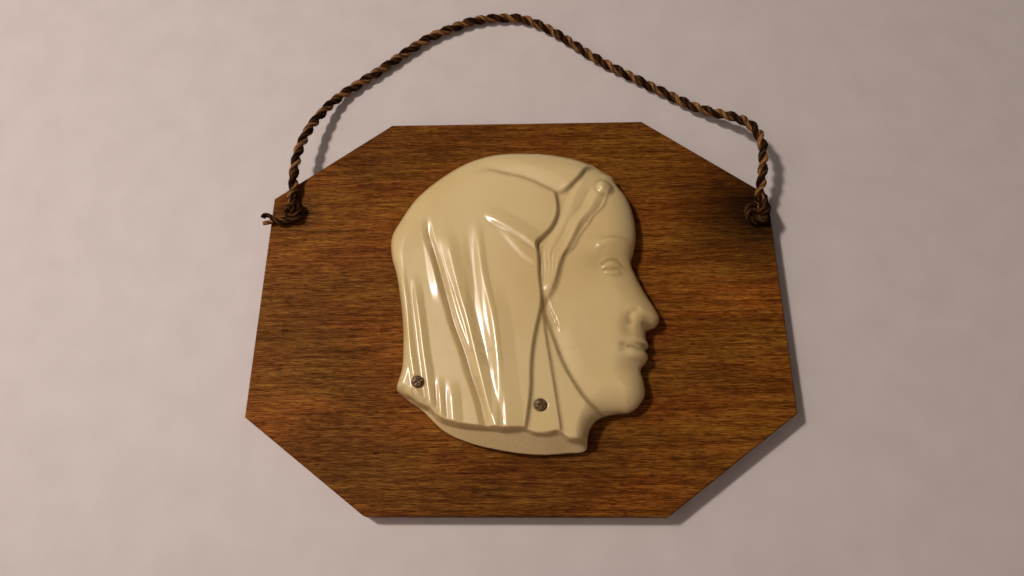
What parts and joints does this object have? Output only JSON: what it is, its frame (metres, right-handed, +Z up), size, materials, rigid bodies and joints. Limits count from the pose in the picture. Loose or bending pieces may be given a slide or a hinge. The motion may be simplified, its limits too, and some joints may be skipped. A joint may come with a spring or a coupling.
{
  "type": "madonna wall plaque",
  "caption": "Eight-sided wooden board with a moulded ivory-coloured relief of a veiled woman's head in profile, screwed on, and a knotted cord to hang it by.",
  "frame": {"origin": "centre of the board's back face, where it lies against the wall", "axes": "+X to the viewer's right, +Y into the wall, +Z up; the relief faces -Y"},
  "size_m": [0.2238, 0.0239, 0.2436],
  "materials": {
    "board_wood": "satin varnish",
    "relief_ivory": "glossy, moulded",
    "screw_brass": "tarnished",
    "cord_yarn": "twisted matt yarn"
  },
  "bodies": {
    "root": {"backboard": "board_wood", "madonna_relief": "relief_ivory", "screw_left": "screw_brass", "screw_middle": "screw_brass", "cord_knot_left": "cord_yarn", "cord_knot_right": "cord_yarn", "hanging_cord": "cord_yarn"}
  },
  "joints": []
}
